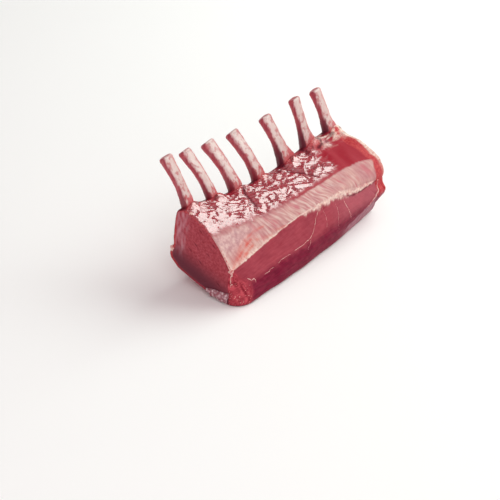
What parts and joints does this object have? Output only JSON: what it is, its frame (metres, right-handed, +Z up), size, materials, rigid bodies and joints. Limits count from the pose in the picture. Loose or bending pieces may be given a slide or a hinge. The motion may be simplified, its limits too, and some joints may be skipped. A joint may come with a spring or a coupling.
{
  "type": "rack of lamb",
  "caption": "Raw rack of lamb: a trimmed loin with a wrinkled wet cap and a band of silverskin, and curved ribs scraped clean above the meat.",
  "frame": {"origin": "bottom centre of the bounding box, on the surface that the rack lies on", "axes": "+X along the rack from the near cut face to the far one, -Y towards the trimmed front, +Y towards the side of the rib cage, +Z up, the way the ribs point"},
  "size_m": [0.207, 0.0832, 0.1035],
  "materials": {
    "raw_meat": "moist raw lamb, deep pink-red, with pale silverskin and fat",
    "scraped_bone": "damp scraped rib bone, pale pink with dark red traces"
  },
  "bodies": {
    "root": {"meat": "raw_meat", "rib_1": "scraped_bone", "rib_2": "scraped_bone", "rib_3": "scraped_bone", "rib_4": "scraped_bone", "rib_5": "scraped_bone", "rib_6": "scraped_bone", "rib_7": "scraped_bone"}
  },
  "joints": []
}
